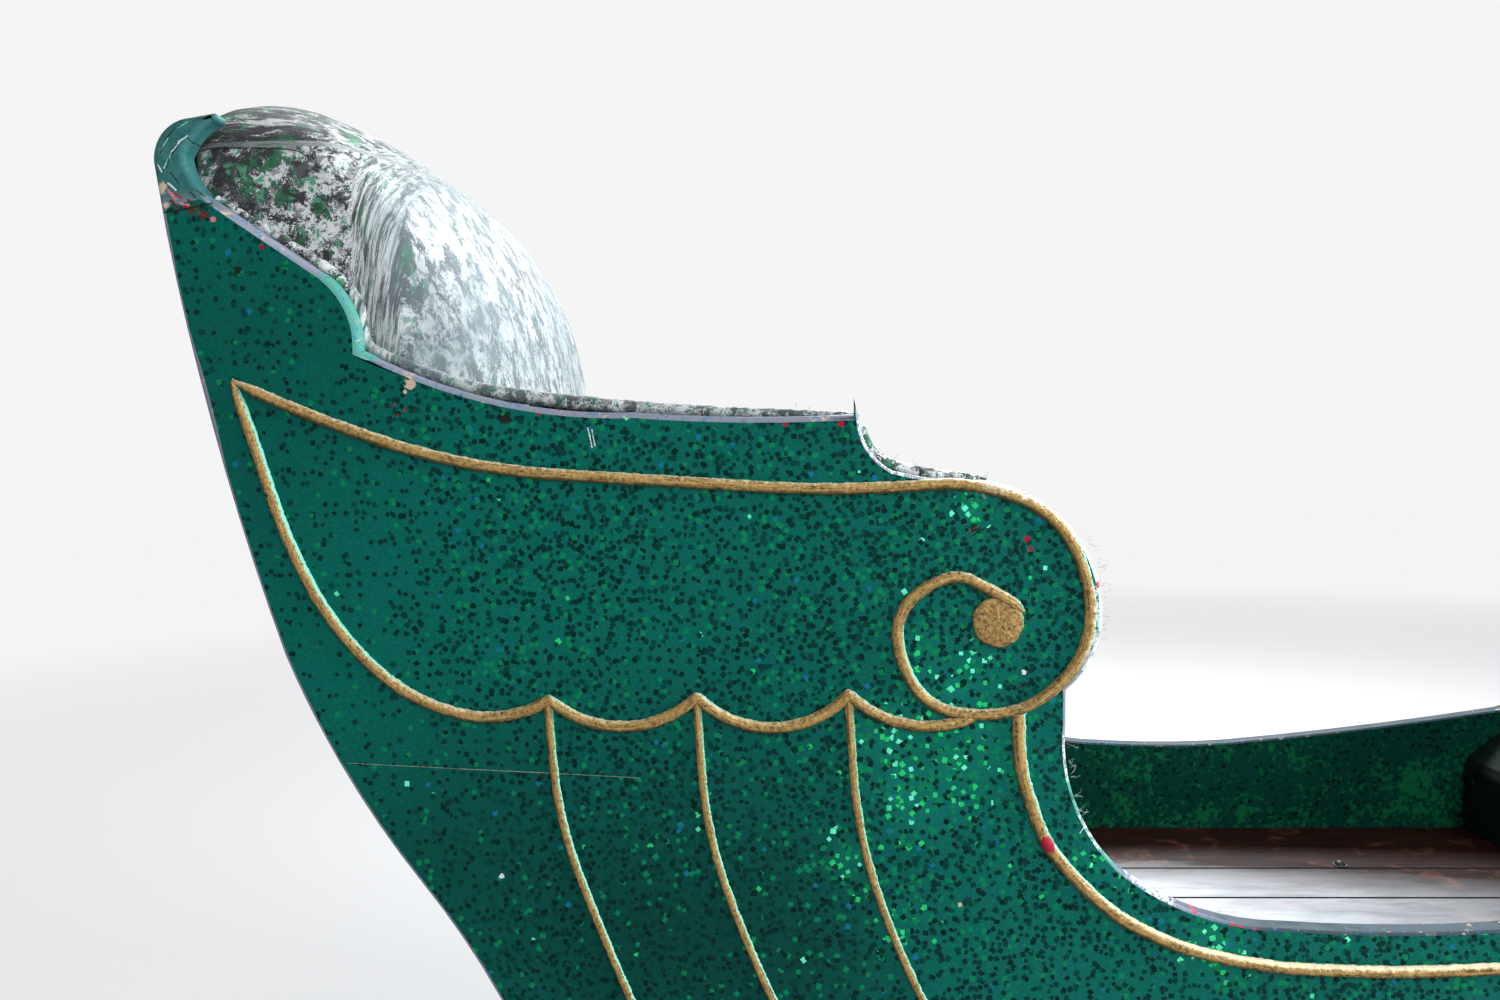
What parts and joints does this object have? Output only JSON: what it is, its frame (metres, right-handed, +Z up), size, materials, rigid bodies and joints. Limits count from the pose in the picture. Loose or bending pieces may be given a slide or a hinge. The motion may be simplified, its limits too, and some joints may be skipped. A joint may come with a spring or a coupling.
{
  "type": "horse drawn sleigh",
  "caption": "Two seat horse drawn sleigh with winged scroll side boards, a padded back, a pair of runners and hinged shafts.",
  "frame": {"origin": "middle of the footprint on the floor, shafts included", "axes": "+X forwards along the sleigh, +Y to its left side, +Z up"},
  "size_m": [4.1754, 0.898, 1.4104],
  "materials": {
    "green_paint": "satin teal green paint with glitter",
    "gilding": "rough gold paint",
    "deck_varnish": "dark red brown gloss varnish",
    "gear_wood": "dark green worn paint",
    "shaft_wood": "varnished ash",
    "iron": "black forged iron",
    "steel": "bright from sliding, rust at its edges",
    "jacquard": "woven jacquard in charcoal, silver and green"
  },
  "bodies": {
    "sleigh": {"side_board_upper_right": "green_paint", "side_board_upper_left": "green_paint", "side_board_lower_right": "green_paint", "side_board_lower_left": "green_paint", "wing_bead_right": "gilding", "wing_bead_left": "gilding", "plume_beads_right": "gilding", "plume_beads_left": "gilding", "back_boards": "green_paint", "crest_board": "green_paint", "dash_boards": "green_paint", "dash_rail": "green_paint", "toe_board": "green_paint", "foot_board": "green_paint", "deck_boards": "deck_varnish", "body_sills": "gear_wood", "seat_board": "gear_wood", "seat_riser": "green_paint", "seat_cleats": "gear_wood", "seat_cushion": "jacquard", "back_cushion": "jacquard", "arm_lining_right": "jacquard", "arm_lining_left": "jacquard", "runner_right": "gear_wood", "runner_left": "gear_wood", "shoe_right": "steel", "shoe_left": "steel", "benches": "gear_wood", "knees_right": "gear_wood", "knees_left": "gear_wood", "braces_right": "iron", "braces_left": "iron", "draw_bar": "gear_wood", "shaft_couplings": "iron"},
    "shafts": {"shaft_right": "shaft_wood", "shaft_left": "shaft_wood", "shaft_irons": "iron", "crossbar": "shaft_wood", "pivot_bolt": "iron"},
    "singletree": {"singletree": "shaft_wood", "trace_hooks": "iron"}
  },
  "joints": [
    {"name": "shaft_hinge", "type": "hinge", "parent": "sleigh", "child": "shafts", "pos_m": [0.04828, 0, 0.25], "axis": [0, -1, 0], "range_deg": [0, 75]},
    {"name": "singletree_swivel", "type": "hinge", "parent": "shafts", "child": "singletree", "pos_m": [0.38135, 0, 0.25883], "axis": [0.1118, 0, 0.9937], "range_deg": [-20, 20]}
  ]
}
